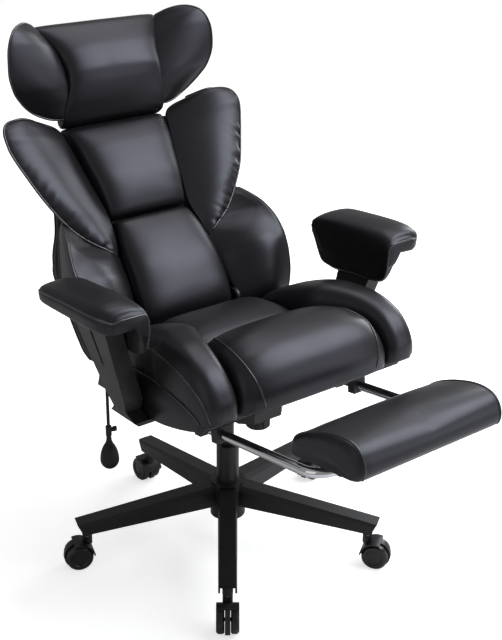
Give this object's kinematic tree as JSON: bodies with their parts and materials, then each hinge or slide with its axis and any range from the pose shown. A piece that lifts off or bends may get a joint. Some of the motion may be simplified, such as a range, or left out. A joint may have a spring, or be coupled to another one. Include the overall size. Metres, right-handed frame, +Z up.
{
  "type": "reclining office chair with footrest",
  "caption": "Padded high-back office chair on a caster star base, with reclining back, winged headrest, armrests, lumbar pump and slide-out footrest.",
  "frame": {"origin": "on the floor plane, on the axis of the gas column, where the casters stand", "axes": "+Z up along the column, -Y the way the sitter looks, +X towards the sitter's left"},
  "size_m": [0.824, 1.1277, 1.1248],
  "materials": {
    "leather": "padded, black, semi-gloss coated leather over foam",
    "nylon": "moulded, satin black",
    "wheel": "moulded, smooth black",
    "painted": "black powder coat",
    "steel": "bright zinc plated",
    "chrome": "polished",
    "lining": "black lining cloth glued over pressed plywood",
    "rubber": "smooth black",
    "screw": "moulded, black"
  },
  "bodies": {
    "base": {"base_star": "nylon", "column_tube": "painted", "column_bush": "nylon", "thrust_bearing": "steel", "caster_stems": "steel"},
    "caster_1": {"caster_hood_1": "nylon"},
    "wheels_1": {"caster_wheels_1": "wheel"},
    "caster_2": {"caster_hood_2": "nylon"},
    "wheels_2": {"caster_wheels_2": "wheel"},
    "caster_3": {"caster_hood_3": "nylon"},
    "wheels_3": {"caster_wheels_3": "wheel"},
    "caster_4": {"caster_hood_4": "nylon"},
    "wheels_4": {"caster_wheels_4": "wheel"},
    "caster_5": {"caster_hood_5": "nylon"},
    "wheels_5": {"caster_wheels_5": "wheel"},
    "spindle": {"lift_rod": "steel"},
    "chassis": {"lift_cylinder": "chrome", "cone_socket": "painted", "mechanism_case": "painted", "torsion_sleeve": "painted", "tilt_axle": "steel", "tension_bolt": "steel"},
    "knob": {"tension_knob": "nylon"},
    "height_handle": {"lift_lever": "nylon"},
    "seat": {"seat_bracket": "painted", "seat_pan": "lining", "seat_core": "leather", "seat_cushion": "leather", "seat_roll": "leather", "seat_bolster_left": "leather", "seat_bolster_right": "leather", "seat_bolts": "steel", "arm_post_left": "nylon", "arm_post_right": "nylon", "arm_pad_left": "leather", "arm_pad_right": "leather", "rail_guides": "nylon", "recline_ears": "painted", "recline_pins": "steel", "hose_grommet": "nylon", "lumbar_hose": "rubber", "bulb_valve": "rubber", "pump_bulb": "rubber"},
    "recline_handle": {"recline_lever": "nylon"},
    "valve": {"valve_screw": "screw"},
    "rails": {"footrest_tube": "chrome"},
    "foot_pad": {"footrest_clips": "nylon", "footrest_pad": "leather"},
    "back": {"back_frame": "painted", "back_board": "lining", "rear_cover": "leather", "back_panel_lower": "leather", "back_panel_upper": "leather", "back_bolster_left": "leather", "back_bolster_right": "leather", "back_wing_left": "leather", "back_wing_right": "leather", "headrest": "leather", "headrest_wing_left": "leather", "headrest_wing_right": "leather"}
  },
  "joints": [
    {"name": "caster_swivel_1", "type": "hinge", "parent": "base", "child": "caster_1", "pos_m": [-0.19602, -0.25546, 0.06], "axis": [0, 0, 1], "continuous": true},
    {"name": "caster_roll_1", "type": "hinge", "parent": "caster_1", "child": "wheels_1", "pos_m": [-0.2088, -0.27212, 0.029], "axis": [-0.7934, 0.6088, 0], "continuous": true},
    {"name": "caster_swivel_2", "type": "hinge", "parent": "base", "child": "caster_2", "pos_m": [0.18238, -0.26537, 0.06], "axis": [0, 0, 1], "continuous": true},
    {"name": "caster_roll_2", "type": "hinge", "parent": "caster_2", "child": "wheels_2", "pos_m": [0.19428, -0.28268, 0.029], "axis": [-0.8241, -0.5664, 0], "continuous": true},
    {"name": "caster_swivel_3", "type": "hinge", "parent": "base", "child": "caster_3", "pos_m": [0.30874, 0.09145, 0.06], "axis": [0, 0, 1], "continuous": true},
    {"name": "caster_roll_3", "type": "hinge", "parent": "caster_3", "child": "wheels_3", "pos_m": [0.32887, 0.09742, 0.029], "axis": [0.284, -0.9588, 0], "continuous": true},
    {"name": "caster_swivel_4", "type": "hinge", "parent": "base", "child": "caster_4", "pos_m": [0.00843, 0.32189, 0.06], "axis": [0, 0, 1], "continuous": true},
    {"name": "caster_roll_4", "type": "hinge", "parent": "caster_4", "child": "wheels_4", "pos_m": [0.00898, 0.34288, 0.029], "axis": [0.9997, -0.0262, 0], "continuous": true},
    {"name": "caster_swivel_5", "type": "hinge", "parent": "base", "child": "caster_5", "pos_m": [-0.30353, 0.10749, 0.06], "axis": [0, 0, 1], "continuous": true},
    {"name": "caster_roll_5", "type": "hinge", "parent": "caster_5", "child": "wheels_5", "pos_m": [-0.32333, 0.1145, 0.029], "axis": [0.3338, 0.9426, 0], "continuous": true},
    {"name": "swivel", "type": "hinge", "parent": "base", "child": "spindle", "pos_m": [0, 0, 0.1], "axis": [0, 0, 1], "continuous": true},
    {"name": "lift", "type": "slide", "parent": "spindle", "child": "chassis", "axis": [0, 0, 1], "range_m": [-0.07, 0]},
    {"name": "tension", "type": "hinge", "parent": "chassis", "child": "knob", "pos_m": [0, -0.105, 0.345], "axis": [0, 0, 1], "range_deg": [-720, 720]},
    {"name": "lift_handle", "type": "hinge", "parent": "chassis", "child": "height_handle", "pos_m": [0.0585, 0, 0.3946], "axis": [0, -1, 0], "range_deg": [0, 3], "stiffness_Nm_per_rad": 6, "springref_deg": -11.46},
    {"name": "tilt", "type": "hinge", "parent": "chassis", "child": "seat", "pos_m": [0, 0.045, 0.396], "axis": [-1, 0, 0], "range_deg": [0, 10], "stiffness_Nm_per_rad": 300, "springref_deg": -20.05},
    {"name": "recline", "type": "hinge", "parent": "seat", "child": "back", "pos_m": [0, 0.15, 0.515], "axis": [-1, 0, 0], "range_deg": [-22, 24]},
    {"name": "recline_handle_turn", "type": "hinge", "parent": "seat", "child": "recline_handle", "pos_m": [0.2, 0.096, 0.407], "axis": [-1, 0, 0], "range_deg": [0, 20], "stiffness_Nm_per_rad": 1.5, "springref_deg": -14.32},
    {"name": "valve_turn", "type": "hinge", "parent": "seat", "child": "valve", "pos_m": [-0.22, 0.108, 0.309], "axis": [1, 0, 0], "range_deg": [0, 360]},
    {"name": "footrest_slide", "type": "slide", "parent": "seat", "child": "rails", "axis": [0, 0.9925, -0.1219], "range_m": [0, 0.21]},
    {"name": "footrest_flip", "type": "hinge", "parent": "rails", "child": "foot_pad", "pos_m": [0, -0.5, 0.453], "axis": [1, 0, 0], "range_deg": [0, 180]}
  ],
  "couplings": [
    {"joint": "footrest_flip", "follows": "footrest_slide", "rad_per_m": 14.952}
  ]
}
